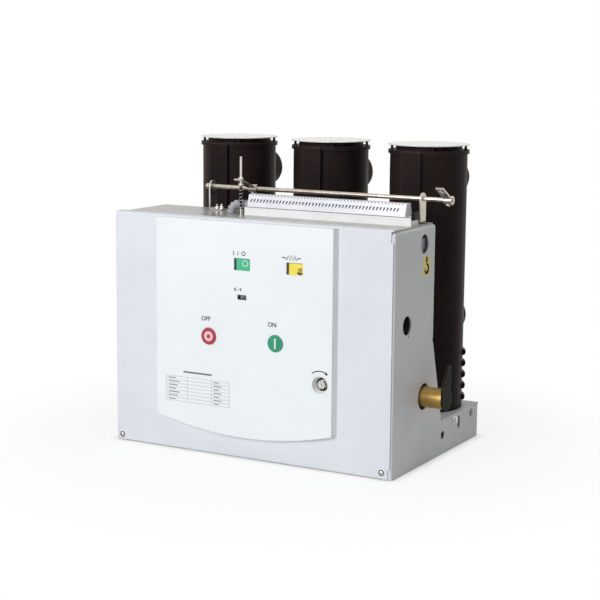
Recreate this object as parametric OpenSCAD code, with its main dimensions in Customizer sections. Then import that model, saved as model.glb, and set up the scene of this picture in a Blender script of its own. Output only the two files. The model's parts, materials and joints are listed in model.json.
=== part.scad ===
// Indoor vacuum circuit breaker of the fixed type: three upright insulating poles stand on the base
// behind a sheet steel mechanism box with a moulded fascia. Millimetres, Z up, front towards -Y.
// The origin lies on the floor under the middle of the base.

/* [Steel frame] */
// Width over the two side plates
frame_w = 588; // [570:1:640]
// Height of the side plates
frame_h = 438; // [425:1:470]
// Depth of the mechanism box
box_d = 170; // [160:1:185]
// Depth of the base on the floor
base_d = 390; // [385:1:430]
// Height of the base deck above the floor
base_h = 66; // [55:1:90]
// Distance from the front to the start of the deck
deck_start = 217; // [205:1:230]
// Height at which the rear edge of the side plates starts to slant
slant_z = 226; // [190:1:270]
// Thickness of the frame sheet
sheet_t = 3; // [2:0.5:4]
// Outside radius of the sheet bends
bend_r = 5; // [4.5:0.5:7]
// Width of the flanges folded from the side plates
flange_w = 22; // [16:1:30]
// Thickness of the top plate
top_t = 3; // [2:0.5:4]

/* [Side plate holes] */
// Radius of the lifting hole
lift_r = 17.5; // [12:0.5:20]
// Distance of the lifting hole behind the front
lift_back = 123; // [100:1:130]
// Distance of the lifting hole below the top of the side plate
lift_drop = 31; // [28:1:50]
// Radius of the inspection hole
inspect_r = 17.5; // [12:0.5:20]
// Distance of the inspection hole behind the front
inspect_back = 55; // [45:1:80]
// Height of the inspection hole
inspect_z = 269; // [240:1:300]
// Radius of the small keying hole beside the inspection hole
key_hole_r = 2.5; // [1.5:0.5:4]
// Sideways shift of the keying hole from the inspection hole
key_hole_shift = 8; // [4:0.5:14]
// Radius of the side fixing holes in the base
fix_r = 8; // [6:0.5:9]
// Distance of the front fixing hole behind the front
fix_front_back = 221; // [200:1:240]
// Height of the front fixing hole
fix_front_z = 36; // [20:1:40]
// Distance of the rear fixing hole behind the front
fix_rear_back = 355; // [330:1:365]
// Distance of the rear fixing hole below the deck's top
fix_rear_drop = 14; // [13:1:40]
// Distance of the adjusting slot behind the front
slot_back = 296; // [270:1:310]
// Distance of the adjusting slot's middle below the deck's top
slot_drop = 20; // [19:1:36]
// Radius of the adjusting slot's ends
slot_r = 5; // [3:0.5:6]
// Length of the adjusting slot between its end centres
slot_l = 14; // [6:1:18]

/* [Cover and fascia] */
// Thickness of the front cover sheet
cover_t = 2; // [1.5:0.5:3]
// Step from the side plate's outside to the cover's edge
cover_inset = 3; // [2:0.5:6]
// Depth of the lip that folds over the top plate
cover_lip = 22; // [12:1:40]
// Outside radius of the cover's top bend
cover_bend_r = 3.5; // [3.5:0.5:5]
// Width of the notch at each cover corner
corner_notch_w = 4; // [2:0.5:8]
// Height of the notch at each cover corner
corner_notch_h = 17; // [6:1:20]
// Gap between the cover and the floor
cover_ground_gap = 2; // [1:0.5:6]
// Width of the raised fascia
fascia_w = 372; // [360:1:420]
// Sideways shift of the fascia's middle from the frame's middle
fascia_x = -5; // [-15:1:15]
// Distance that the fascia stands proud of the cover
fascia_d = 12; // [12:1:26]
// Wall of the fascia moulding
fascia_wall = 3; // [2:0.5:4]
// Gap from the cover's top down to the fascia's top edge
fascia_top_gap = 3.5; // [3.5:0.5:20]
// Height of the fascia's lower corners
fascia_corner_z = 67; // [50:1:80]
// Depth of the arc along the fascia's lower edge
fascia_sag = 25; // [10:1:30]

/* [Front controls] */
// Width of the two indicator windows
window_w = 34; // [28:1:40]
// Height of the two indicator windows
window_h = 22; // [16:1:28]
// Distance of the windows' middle below the top of the side plate
window_drop = 75; // [60:1:90]
// Distance of the charge indicator from the fascia's middle
charge_window_x = 109; // [90:1:130]
// Width of the operation counter
counter_w = 19; // [14:1:28]
// Height of the operation counter
counter_h = 9; // [7:0.5:14]
// Distance from the windows' middle down to the counter's middle
counter_drop = 60; // [50:1:72]
// Rim of an insert that bears on the back of the fascia's face
insert_rim = 3; // [2:0.5:5]
// Radius of the push buttons
button_r = 15.5; // [12:0.5:18]
// Distance of each push button from the fascia's middle
button_x = 70.5; // [60:0.5:90]
// Height of the push buttons above the floor
button_z = 225; // [205:1:240]
// Distance that a button stands proud of the fascia
button_proud = 1.5; // [0.5:0.5:4]
// Travel of a push button
button_travel = 5; // [3:0.5:6]
// Radius of a button's stem
stem_r = 5; // [3:0.5:7]
// Distance of the manual charging socket from the fascia's middle
charging_x = 162; // [120:1:163]
// Height of the manual charging socket
charging_z = 159; // [140:1:180]
// Inside radius of the socket's mouth
socket_r = 15.5; // [13:0.5:17]
// Inside radius at the socket's bottom
socket_bottom_r = 12; // [10:0.5:12.5]
// Depth of the socket's straight mouth
socket_mouth = 4; // [3:0.5:6]
// Depth of the socket's funnel
socket_depth = 10; // [8:0.5:11]
// Radius of the charging shaft
charging_shaft_r = 8.5; // [6:0.5:9]
// Distance from the fascia's face to the end of the charging shaft
charging_shaft_drop = 5; // [4.5:0.5:6]

/* [Main shaft] */
// Radius of the main shaft
shaft_r = 19; // [15:0.5:21]
// Radius of the clearance hole in the side plates
shaft_hole_r = 24.5; // [22:0.5:26]
// Distance of the main shaft behind the front
shaft_back = 132; // [110:1:136]
// Height of the main shaft above the floor
shaft_z = 127; // [120:1:160]
// Distance that the shaft stands out of the right side plate
shaft_out = 42; // [20:1:60]
// Length of the shaft bearings
bearing_l = 14; // [8:1:20]
// Wall of the shaft bearings
bearing_wall = 12; // [6:1:16]
// Thickness of the lever
lever_t = 5; // [3:0.5:10]
// Radius of the lever's hub
lever_hub_r = 20; // [19.5:0.5:26]
// Height above the shaft's axis at which the lever's front edge starts to slant
lever_flat = 21; // [10:1:30]
// Rise of the lever's tip above the shaft's axis
lever_rise = 61; // [45:1:70]
// Distance of the lever's rear edge behind the shaft's axis
lever_rear = 14; // [8:1:19]
// Width of the lever's tip
lever_tip_w = 8; // [5:0.5:12]

/* [Poles] */
// Spacing of the three poles
pole_pitch = 210; // [195:1:215]
// Distance of the pole axes behind the front
pole_back = 316; // [300:1:316]
// Height of the pole tops above the floor
pole_top = 572; // [550:1:610]
// Radius of the pole bodies
pole_r = 73.5; // [65:0.5:76]
// Radius of the collar round the pole's top
collar_r = 77; // [76.5:0.5:80]
// Height of the collar
collar_h = 7; // [5:1:16]
// Gap between the collar and the cap
cap_gap = 9; // [5:0.5:14]
// Radius of the cap disc
cap_r = 77.5; // [72:0.5:85]
// Thickness of the cap disc
cap_t = 1.5; // [1:0.5:4]
// Radius of the neck inside the cap gap
neck_r = 63; // [55:0.5:64]
// Radius of the posts that carry the cap
post_r = 2.5; // [2:0.5:4]
// Width of the flat rib on the pole's front
pad_w = 39; // [30:1:60]
// Distance of the front rib's face from the pole axis
pad_reach = 81; // [80.5:0.5:86]
// Distance from the collar's top down to the front rib's top
pad_drop = 1.5; // [1:0.5:30]
// Radius of the terminal bosses at the back
boss_r = 38; // [36:0.5:46]
// Distance of the bosses' end faces from the pole axis
boss_reach = 109; // [95:0.5:118]
// Distance of the upper terminals below the pole's top
upper_terminal_drop = 69; // [64:1:90]
// Distance between the upper and the lower terminals
terminal_spacing = 273; // [240:1:280]
// Radius of the copper terminals
terminal_r = 30; // [24:0.5:32]
// Distance that the copper stands proud of its boss
terminal_proud = 2; // [1:0.5:6]
// Depth of the terminal's seat in the boss
terminal_seat = 36; // [34:1:44]
// Tapping radius of the terminal's thread
thread_r = 7; // [5:0.5:9]
// Depth of the terminal's thread
thread_depth = 28; // [15:1:30]
// Number of sheds round the back of the pole's foot
shed_count = 5; // [3:1:5]
// Height of the lowest shed's middle above the deck
shed_first = 19; // [12:1:22]
// Spacing of the sheds
shed_pitch = 22; // [16:0.5:23]
// Radius of a shed's rounded edge
shed_r = 6; // [4:0.5:8]
// Distance behind the pole axis at which the sheds start
shed_start = 22; // [10:1:40]

/* [Interlock shaft] */
// Radius of the interlock rod
rod_r = 4; // [3:0.5:6]
// Distance of the rod behind the front
rod_back = 135; // [134:1:140]
// Height of the rod above the top plate
rod_rise = 45; // [42:1:60]
// Left end of the rod
rod_left_x = -173; // [-190:1:-170]
// Right end of the rod
rod_right_x = 342; // [341:1:380]
// Outer face of the left bracket
bracket_left_x = -161.5; // [-166:0.5:-156]
// Outer face of the right bracket
bracket_right_x = 284; // [275:1:287]
// Thickness of the brackets and levers
strap_t = 3; // [2:0.5:4]
// Width of the bracket straps
strap_w = 22; // [18:1:24]
// Outside radius of the brackets' bend
strap_bend_r = 6; // [4.5:0.5:8]
// Length of the brackets' feet
foot_l = 28; // [20:1:34]
// Width of the push rod lever
arm_w = 17; // [13:0.5:22]
// Length of the levers beyond their slot
arm_tip = 5; // [3:0.5:9]
// Outside radius of the levers' hubs
arm_hub_r = 8; // [7:0.5:10]
// Upward tilt of the push rod lever
lever_tilt = 20; // [15:1:24]
// Upward tilt of the paddle at the right end
paddle_tilt = 30; // [20:1:40]
// Middle of the paddle along the rod
paddle_x = 333; // [320:1:333]
// Width of the paddle
paddle_w = 15; // [13:0.5:16]
// Distance of the paddle's slot from the rod
paddle_reach = 37; // [30:1:50]

/* [Push rod] */
// Sideways place of the push rod
push_x = -68; // [-76:0.5:-67.5]
// Distance of the push rod behind the front
push_back = 88; // [86:1:90]
// Radius of the push rod
push_r = 2.25; // [1.5:0.25:2.5]
// Height of the push rod's top above the top plate
push_rise = 108; // [85:1:130]
// Length of the push rod below the top plate
push_tail = 40; // [20:1:80]
// Radius of the collars on the push rod
collar_nut_r = 5; // [4.5:0.5:6]
// Height of the collars on the push rod
collar_nut_h = 3; // [2:0.5:6]
// Mean radius of the return spring
spring_r = 3.1; // [2.9:0.1:4]
// Radius of the spring's wire
spring_wire_r = 0.5; // [0.4:0.1:0.6]
// Turns of the return spring
spring_turns = 9; // [8:1:14]

/* [Terminal strip] */
// Left end of the terminal strip
strip_left_x = -58; // [-60:1:-40]
// Right end of the terminal strip
strip_right_x = 284; // [240:1:286]
// Distance of the strip's front behind the front
strip_back = 84; // [78:1:92]
// Depth of the strip
strip_d = 30; // [26:1:31]
// Height of the strip's base
strip_base_h = 16; // [10:1:18]
// Distance from the base's left end to the start of the cover
strip_cover_start = 6; // [0:1:20]
// Distance from the end of the cover to the base's right end
strip_cover_end = 12; // [0:1:20]
// Height of the strip's cover
strip_cover_h = 23; // [16:1:26]
// Width of the cover's flat top
strip_top_w = 16; // [10:1:20]
// Wall of the strip's cover
strip_wall = 1.5; // [1:0.5:2]
// Radius of the wiring sleeve
sleeve_r = 8.5; // [7:0.5:10]
// Bend radius of the wiring sleeve
sleeve_bend = 18; // [14:1:22]
// Straight length of the wiring sleeve
sleeve_l = 22; // [15:1:34]

/* [Hidden] */
$fn = 64;
eps = 0.01;

paint = "#dcdee4";
fascia_white = "#eef1f5";
epoxy = "#2a2423";
zinc = "#c9c7c2";
brass = "#b8954f";
copper = "#b87850";

// Radial clearance of parts that turn or slide in a bore
running_fit = 0.05;
// Overlap of a fold with the flat of its plate
fold_lap = 1;
// Room left at the ends of the slanted fold
relief_gap = 0.5;
// Extra length of a cut at each open end
overcut = 1;
// Clearance round parts that are only set in place
set_gap = 0.2;
// Clearance round a button's cap
button_gap = 0.3;
// Gap between a button's rim and the back of the fascia
button_rest_gap = 0.2;
// Angle from the middle of the pole to its cap posts
post_angle = 30;
// Middle of the slot in the push rod lever, measured from the rod's axis
slot_reach = (rod_back - push_back) / cos(lever_tilt);
// Length of the slot in the levers between its end centres
arm_slot_l = 7;
// Clearance at each side of the push rod in the slot
slot_gap = 0.4;
arm_slot_r = push_r + slot_gap;
arm_end = arm_slot_l / 2 + arm_slot_r + arm_tip;
// Play between the push rod lever and the collars
lever_play = 0.8;
// Thickness of the rims behind the fascia's face
insert_rim_t = 2;
// Wall of the charging socket
socket_lip = 2;
// Gap between the charging shaft's hexagon and the cover
hex_gap = 2;
// Length of the charging shaft behind its hexagon
charging_tail = 30;
// Depth of the centre drilling in the charging shaft
centre_depth = 5;
// Step from the hub's front back to the lever's front edge
lever_step = 1;
// Shift of the wiring sleeve behind the strip's middle
sleeve_shift = 3;
// Clearance at each end of the return spring
spring_gap = 0.1;
// Points on each turn of the spring, and round its wire
spring_steps = 16;
spring_sides = 6;

front_y = -base_d / 2;
rear_y = base_d / 2;
half_w = frame_w / 2;
inner_w = half_w - sheet_t;
plate_front = front_y + cover_t;
box_rear = front_y + box_d;
deck_y = front_y + deck_start;
floor_rear = rear_y - max(2 * sheet_t, bend_r);
base_top = base_h - sheet_t;
top_z = frame_h + top_t;
rod_z = top_z + rod_rise;
window_z = frame_h - window_drop;
counter_z = window_z - counter_drop;
face_y = front_y - fascia_d;
face_back_y = face_y + fascia_wall;
shaft_y = front_y + shaft_back;
pole_y = front_y + pole_back;
rod_y = front_y + rod_back;
push_y = front_y + push_back;
strip_y = front_y + strip_back;
cap_z = pole_top - cap_t;
collar_top = cap_z - cap_gap;
upper_terminal_z = pole_top - upper_terminal_drop;
lower_terminal_z = upper_terminal_z - terminal_spacing;
collar_z = collar_top - collar_h;
lever_mid_z = rod_z + (rod_back - push_back) * tan(lever_tilt);
lever_half = collar_nut_r * tan(lever_tilt) + strap_t / 2 / cos(lever_tilt) + lever_play;
lower_collar_z = lever_mid_z - lever_half - collar_nut_h;
spring_rings = spring_turns * spring_steps + 1;
spring_low = top_z + spring_wire_r + spring_gap;
spring_high = lower_collar_z - spring_wire_r - spring_gap;

// Slanted rear edge of the side plates, from the deck up to the box
slant_run = [box_rear - deck_y, slant_z - base_top];
slant_len = norm(slant_run);
slant_dir = slant_run / slant_len;
slant_in = [-slant_dir[1], slant_dir[0]];
// Where the slanted edge, moved inwards by v, meets the height z and the box's rear line
function slant_foot(v, z) =
    let (t = (z - base_top - v * slant_in[1]) / slant_dir[1])
    [deck_y + v * slant_in[0] + t * slant_dir[0], z];
function slant_joint(v) =
    let (t = (box_rear - v - deck_y - v * slant_in[0]) / slant_dir[0])
    [box_rear - v, base_top + v * slant_in[1] + t * slant_dir[1]];

// Draws a YZ outline through a length along X
module along_x(x, length) {
    translate([x, 0, 0]) rotate([90, 0, 90]) linear_extrude(height = length) children();
}

// Draws an XZ outline from y backwards through a length
module along_y(y, length) {
    translate([0, y + length, 0]) rotate([90, 0, 0]) linear_extrude(height = length) children();
}

// Round bars along X and along Y
module bar_x(x, length, r) {
    translate([x, 0, 0]) rotate([0, 90, 0]) cylinder(h = length, r = r);
}
module bar_y(y, length, r) {
    translate([0, y, 0]) rotate([-90, 0, 0]) cylinder(h = length, r = r);
}

// Section of a sheet's right-angled bend, in the corner at the origin
module quarter_bend(r, t) {
    difference() {
        intersection() {
            translate([r, r]) circle(r = r);
            square(r);
        }
        translate([r, r]) circle(r = r - t);
    }
}

// Flange folded inwards along the right side plate's edge from p to q, both in YZ
module folded_edge(p, q) {
    d = (q - p) / norm(q - p);
    multmatrix([
        [-1, 0, 0, half_w],
        [0, -d[1], d[0], p[0]],
        [0, d[0], d[1], p[1]],
        [0, 0, 0, 1]
    ]) linear_extrude(height = norm(q - p)) {
        quarter_bend(bend_r, sheet_t);
        translate([bend_r, 0]) square([flange_w - bend_r, sheet_t]);
        translate([0, bend_r]) square([sheet_t, fold_lap]);
    }
}

// Flat of the side plate, which ends inside the lap of each fold
module side_web() {
    edge = bend_r + fold_lap / 2;
    polygon([
        [plate_front + edge, 0], [rear_y - edge, 0], [rear_y - edge, base_top],
        slant_foot(edge, base_top), slant_joint(edge), [box_rear - edge, frame_h - edge],
        [plate_front + edge, frame_h - edge]
    ]);
}

module side_holes() {
    translate([front_y + lift_back, frame_h - lift_drop]) circle(r = lift_r);
    translate([front_y + inspect_back, inspect_z]) circle(r = inspect_r);
    translate([front_y + inspect_back + key_hole_shift, inspect_z - inspect_r - key_hole_r])
        circle(r = key_hole_r);
    translate([shaft_y, shaft_z]) circle(r = shaft_hole_r);
    translate([front_y + fix_front_back, fix_front_z]) circle(r = fix_r);
    translate([front_y + fix_rear_back, base_h - fix_rear_drop]) circle(r = fix_r);
    translate([front_y + slot_back, base_h - slot_drop]) {
        for (end = [-1, 1]) translate([0, end * slot_l / 2]) circle(r = slot_r);
        translate([-slot_r, -slot_l / 2]) square([2 * slot_r, slot_l]);
    }
}

// Sheet steel side plate with its folded front, top and rear edges, drawn for the right side
module side_plate() {
    foot = [deck_y, base_top];
    joint = [box_rear, slant_z];
    relief = bend_r * abs(slant_dir[0]) + relief_gap;
    along_x(inner_w, sheet_t) difference() {
        side_web();
        side_holes();
    }
    folded_edge([rear_y, 0], [rear_y, base_top]);
    folded_edge(foot + slant_dir * relief, joint - slant_dir * relief);
    folded_edge(joint + [0, relief], [box_rear, frame_h - bend_r]);
    folded_edge([box_rear - bend_r, frame_h], [plate_front + bend_r, frame_h]);
    folded_edge([plate_front, frame_h - bend_r], [plate_front, 0]);
}

module left_side_plate() {
    color(paint) mirror([1, 0, 0]) side_plate();
}

module right_side_plate() {
    color(paint) side_plate();
}

// Semi-gloss top plate on the side plates' top flanges, drilled for the push rod
module top_plate() {
    color("#c2bfba") difference() {
        translate([-half_w + bend_r, front_y + cover_bend_r, frame_h])
            cube([2 * (half_w - bend_r), box_d - cover_bend_r - bend_r, top_t]);
        translate([push_x, push_y, frame_h - overcut])
            cylinder(h = top_t + 2 * overcut, r = push_r + running_fit);
    }
}

// Folded rear wall of the box, inside the side plates' rear flanges
module rear_plate() {
    v = sheet_t;
    w = 2 * sheet_t;
    color(paint) along_x(-half_w + bend_r, 2 * (half_w - bend_r)) polygon([
        slant_foot(v, base_top), slant_joint(v), [box_rear - v, frame_h - sheet_t],
        [box_rear - w, frame_h - sheet_t], slant_joint(w), slant_foot(w, base_top)
    ]);
}

module bottom_plate() {
    color(paint) translate([-inner_w, plate_front + bend_r, 0])
        cube([2 * inner_w, floor_rear - plate_front - bend_r, sheet_t]);
}

// Deck over the rear of the base, on which the poles stand
module pole_deck() {
    color(paint) translate([-half_w, deck_y, base_top]) cube([frame_w, rear_y - deck_y, sheet_t]);
}

// Rail that closes the base at the back, between the side plates' rear flanges
module base_rear_rail() {
    color(paint) translate([-half_w + bend_r, rear_y - 2 * sheet_t, 0])
        cube([2 * (half_w - bend_r), sheet_t, base_top]);
}

// Front cover with the lip that folds over the top plate
module front_cover() {
    face_top = top_z + cover_t - cover_bend_r;
    face_half = half_w - cover_inset;
    color(paint) difference() {
        along_x(-face_half, 2 * face_half) {
            translate([front_y, cover_ground_gap]) square([cover_t, face_top - cover_ground_gap]);
            translate([front_y, top_z + cover_t]) mirror([0, 1]) quarter_bend(cover_bend_r, cover_t);
            translate([front_y + cover_bend_r, top_z]) square([cover_lip - cover_bend_r, cover_t]);
        }
        for (side = [-1, 1], z = [0, frame_h - corner_notch_h])
            translate([side * face_half - corner_notch_w, front_y - overcut, z])
                cube([2 * corner_notch_w, cover_lip, corner_notch_h + cover_ground_gap]);
        for (side = [-1, 1])
            translate([fascia_x + side * button_x, 0, button_z])
                bar_y(front_y - overcut, cover_t + 2 * overcut, stem_r + running_fit);
        translate([fascia_x + charging_x, 0, charging_z])
            bar_y(front_y - overcut, cover_t + 2 * overcut, charging_shaft_r + running_fit);
    }
}

// Outline of the fascia, set in by a wall: straight sides and an arc along the lower edge
module fascia_outline(wall) {
    arc_r = (fascia_w * fascia_w / 4 + fascia_sag * fascia_sag) / (2 * fascia_sag);
    low_z = fascia_corner_z - fascia_sag;
    top = top_z + cover_t - fascia_top_gap - wall;
    intersection() {
        translate([-fascia_w / 2 + wall, low_z - 1]) square([fascia_w - 2 * wall, top - low_z + 1]);
        translate([0, low_z + arc_r]) circle(r = arc_r - wall, $fn = 256);
    }
}

// Raised moulding on the cover, open at the back, with windows for the controls
module fascia_panel() {
    cut_y = face_y - 1;
    cut_d = fascia_wall + 2;
    color(fascia_white) translate([fascia_x, 0, 0]) difference() {
        along_y(face_y, fascia_d) fascia_outline(0);
        along_y(face_back_y, fascia_d) fascia_outline(fascia_wall);
        for (x = [0, charge_window_x]) insert_block(x, window_z, window_w, window_h, cut_y, cut_d);
        insert_block(0, counter_z, counter_w, counter_h, cut_y, cut_d);
        for (side = [-1, 1])
            translate([side * button_x, 0, button_z]) bar_y(cut_y, cut_d, button_r + button_gap);
        translate([charging_x, 0, charging_z]) bar_y(cut_y, cut_d, socket_r + socket_lip + set_gap);
    }
}

module insert_block(x, z, w, h, y, depth) {
    translate([x - w / 2, y, z - h / 2]) cube([w, depth, h]);
}

// Plate that shows through a window and bears on the back of the fascia's face
module window_insert(x, z, w, h) {
    insert_block(fascia_x + x, z, w + 2 * insert_rim, h + 2 * insert_rim, face_back_y, insert_rim_t);
}

module position_indicator() {
    color("#4bbe91") window_insert(0, window_z, window_w, window_h);
}

module charge_indicator() {
    color("#f5e164") window_insert(charge_window_x, window_z, window_w, window_h);
}

module operation_counter() {
    color("#202224") window_insert(0, counter_z, counter_w, counter_h);
}

// Push button: cap in the fascia, rim behind its face, and a stem guided by the cover
module push_button(x) {
    rim_y = face_back_y + button_rest_gap;
    stem_end = front_y + cover_t + button_travel;
    translate([fascia_x + x, 0, button_z]) {
        bar_y(face_y - button_proud, rim_y + eps - face_y + button_proud, button_r);
        bar_y(rim_y, insert_rim_t, button_r + insert_rim);
        bar_y(rim_y, stem_end - rim_y, stem_r);
    }
}

module off_button() {
    color("#aa3741") push_button(-button_x);
}

module on_button() {
    color("#37a582") push_button(button_x);
}

// Funnel that guides the charging crank onto the charging shaft
module charging_socket() {
    lip_r = socket_r + socket_lip;
    color("#e4e8e8") translate([fascia_x + charging_x, face_y, charging_z]) rotate([-90, 0, 0])
        rotate_extrude()
        polygon([
            [socket_r, 0], [lip_r, 0], [lip_r, fascia_wall], [lip_r + insert_rim, fascia_wall],
            [lip_r + insert_rim, fascia_wall + insert_rim_t], [lip_r, fascia_wall + insert_rim_t],
            [socket_bottom_r + socket_lip, socket_depth], [socket_bottom_r, socket_depth],
            [socket_r, socket_mouth]
        ]);
}

// Charging shaft with a hexagonal end, carried by the cover
module charging_shaft() {
    hex_l = fascia_d - charging_shaft_drop - hex_gap;
    start_y = face_y + charging_shaft_drop;
    color(zinc) translate([fascia_x + charging_x, 0, charging_z]) difference() {
        union() {
            bar_y(start_y + hex_l - eps, charging_tail, charging_shaft_r);
            translate([0, start_y, 0]) rotate([-90, 0, 0])
                cylinder(h = hex_l, r = charging_shaft_r, $fn = 6);
        }
        bar_y(start_y - overcut, centre_depth + overcut, charging_shaft_r / 4);
    }
}

// Main shaft, through both side plates
module main_shaft() {
    color(brass) translate([0, shaft_y, shaft_z]) bar_x(-half_w, frame_w + shaft_out, shaft_r);
}

// Fin-shaped lever on the right end of the main shaft
module shaft_lever() {
    front = lever_hub_r - lever_step;
    fin_z = -lever_hub_r / 4;
    color("#3c3c2e") translate([half_w + shaft_out, shaft_y, shaft_z]) union() {
        along_x(0, lever_t) circle(r = lever_hub_r);
        along_x(0, lever_t) polygon([
            [-front, fin_z], [-front, lever_flat], [lever_rear - lever_tip_w, lever_rise],
            [lever_rear - lever_tip_w / 2, lever_rise], [lever_rear, lever_rise - lever_tip_w / 2],
            [lever_rear, fin_z]
        ]);
    }
}

// Ring bearing on the inside of a side plate
module shaft_bearing(x) {
    color("#6f7173") translate([0, shaft_y, shaft_z]) difference() {
        bar_x(x, bearing_l, shaft_r + bearing_wall);
        bar_x(x - overcut, bearing_l + 2 * overcut, shaft_r + running_fit);
    }
}

module shaft_bearing_left() {
    shaft_bearing(-inner_w);
}

module shaft_bearing_right() {
    shaft_bearing(inner_w - bearing_l);
}

// Rounded sheds round the back half of the pole's foot
module pole_sheds() {
    reach = pole_r + 2 * shed_r;
    intersection() {
        for (i = [0 : shed_count - 1]) translate([0, 0, base_h + shed_first + i * shed_pitch])
            rotate_extrude() translate([pole_r, 0]) circle(r = shed_r);
        translate([-reach, shed_start, base_h]) cube([2 * reach, reach, collar_z - base_h]);
    }
}

// Moulded insulating pole: body, collar, neck, cap posts, front rib, terminal bosses and sheds
module pole(x) {
    color(epoxy) translate([x, pole_y, 0]) difference() {
        union() {
            translate([0, 0, base_h]) cylinder(h = collar_top - base_h, r = pole_r);
            translate([0, 0, collar_z]) cylinder(h = collar_h, r = collar_r);
            translate([0, 0, collar_z]) cylinder(h = cap_z - collar_z, r = neck_r);
            for (k = [0 : 3]) rotate([0, 0, post_angle + 90 * k])
                translate([(neck_r + collar_r) / 2, 0, collar_z])
                    cylinder(h = cap_z - collar_z, r = post_r);
            translate([-pad_w / 2, -pad_reach, base_h])
                cube([pad_w, pad_reach, collar_top - pad_drop - base_h]);
            for (z = [lower_terminal_z, upper_terminal_z])
                translate([0, 0, z]) bar_y(0, boss_reach, boss_r);
            pole_sheds();
        }
        for (z = [lower_terminal_z, upper_terminal_z]) translate([0, 0, z])
            bar_y(boss_reach - terminal_seat, terminal_seat + overcut, terminal_r + set_gap);
    }
}

module pole_left() {
    pole(-pole_pitch);
}

module pole_middle() {
    pole(0);
}

module pole_right() {
    pole(pole_pitch);
}

module pole_cap(x) {
    color("#b9b5b0") translate([x, pole_y, cap_z]) cylinder(h = cap_t, r = cap_r);
}

module pole_cap_left() {
    pole_cap(-pole_pitch);
}

module pole_cap_middle() {
    pole_cap(0);
}

module pole_cap_right() {
    pole_cap(pole_pitch);
}

// Copper terminal with a tapped hole, seated in a boss
module terminal(x, z) {
    end_y = boss_reach + terminal_proud;
    color(copper) translate([x, pole_y, z]) difference() {
        bar_y(boss_reach - terminal_seat, terminal_seat + terminal_proud, terminal_r);
        bar_y(end_y - thread_depth, thread_depth + overcut, thread_r);
    }
}

module upper_terminal_left() {
    terminal(-pole_pitch, upper_terminal_z);
}

module upper_terminal_middle() {
    terminal(0, upper_terminal_z);
}

module upper_terminal_right() {
    terminal(pole_pitch, upper_terminal_z);
}

module lower_terminal_left() {
    terminal(-pole_pitch, lower_terminal_z);
}

module lower_terminal_middle() {
    terminal(0, lower_terminal_z);
}

module lower_terminal_right() {
    terminal(pole_pitch, lower_terminal_z);
}

// Bent bracket with a round-topped strap that carries the rod, its foot towards +X
module interlock_bracket() {
    color(zinc) {
        along_x(0, strap_t) difference() {
            union() {
                translate([rod_y, rod_z]) circle(r = strap_w / 2);
                translate([rod_y - strap_w / 2, top_z + strap_bend_r])
                    square([strap_w, rod_rise - strap_bend_r]);
            }
            translate([rod_y, rod_z]) circle(r = rod_r + running_fit);
        }
        along_y(rod_y - strap_w / 2, strap_w) translate([0, top_z]) {
            quarter_bend(strap_bend_r, strap_t);
            translate([strap_bend_r, 0]) square([foot_l - strap_bend_r, strap_t]);
        }
    }
}

module interlock_bracket_left() {
    translate([bracket_left_x, 0, 0]) interlock_bracket();
}

module interlock_bracket_right() {
    translate([bracket_right_x, 0, 0]) mirror([1, 0, 0]) interlock_bracket();
}

module interlock_rod() {
    color(zinc) translate([0, rod_y, rod_z]) bar_x(rod_left_x, rod_right_x - rod_left_x, rod_r);
}

// Slotted lever clamped on the rod, tilted upwards towards the front
module rod_arm(x, tilt, width, reach) {
    length = reach + arm_end;
    translate([x - width / 2, rod_y, rod_z]) rotate([-tilt, 0, 0]) difference() {
        along_x(0, width) {
            circle(r = arm_hub_r);
            translate([-length, -strap_t / 2]) square([length, strap_t]);
        }
        bar_x(-overcut, width + 2 * overcut, rod_r + running_fit);
        for (end = [-1, 1]) translate([width / 2, -reach + end * arm_slot_l / 2, -strap_t])
            cylinder(h = 2 * strap_t, r = arm_slot_r);
        translate([width / 2 - arm_slot_r, -reach - arm_slot_l / 2, -strap_t])
            cube([2 * arm_slot_r, arm_slot_l, 2 * strap_t]);
    }
}

module interlock_lever() {
    color(zinc) rod_arm(push_x, lever_tilt, arm_w, slot_reach);
}

module interlock_paddle() {
    color(zinc) rod_arm(paddle_x, paddle_tilt, paddle_w, paddle_reach);
}

// Push rod through the top plate, with a collar above and below the lever
module push_rod() {
    color(zinc) translate([push_x, push_y, 0]) {
        translate([0, 0, top_z - push_tail]) cylinder(h = push_tail + push_rise, r = push_r);
        for (z = [lower_collar_z, lever_mid_z + lever_half])
            translate([0, 0, z]) cylinder(h = collar_nut_h, r = collar_nut_r);
    }
}

// Return spring between the top plate and the lower collar, swept along a helix
function spring_point(i, k) =
    let (turn = 360 * i / spring_steps, side = 360 * k / spring_sides)
    let (r = spring_r + spring_wire_r * cos(side))
    let (z = spring_low + (spring_high - spring_low) * i / (spring_rings - 1))
    [r * cos(turn), r * sin(turn), z + spring_wire_r * sin(side)];
module push_rod_spring() {
    points = [for (i = [0 : spring_rings - 1], k = [0 : spring_sides - 1]) spring_point(i, k)];
    wall = [for (i = [0 : spring_rings - 2], k = [0 : spring_sides - 1])
        let (n = (k + 1) % spring_sides, a = i * spring_sides, b = a + spring_sides)
        [a + k, b + k, b + n, a + n]];
    last = (spring_rings - 1) * spring_sides;
    low_end = [for (k = [0 : spring_sides - 1]) k];
    high_end = [for (k = [spring_sides - 1 : -1 : 0]) last + k];
    color(zinc) translate([push_x, push_y, 0])
        polyhedron(points = points, faces = concat(wall, [low_end, high_end]));
}

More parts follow.
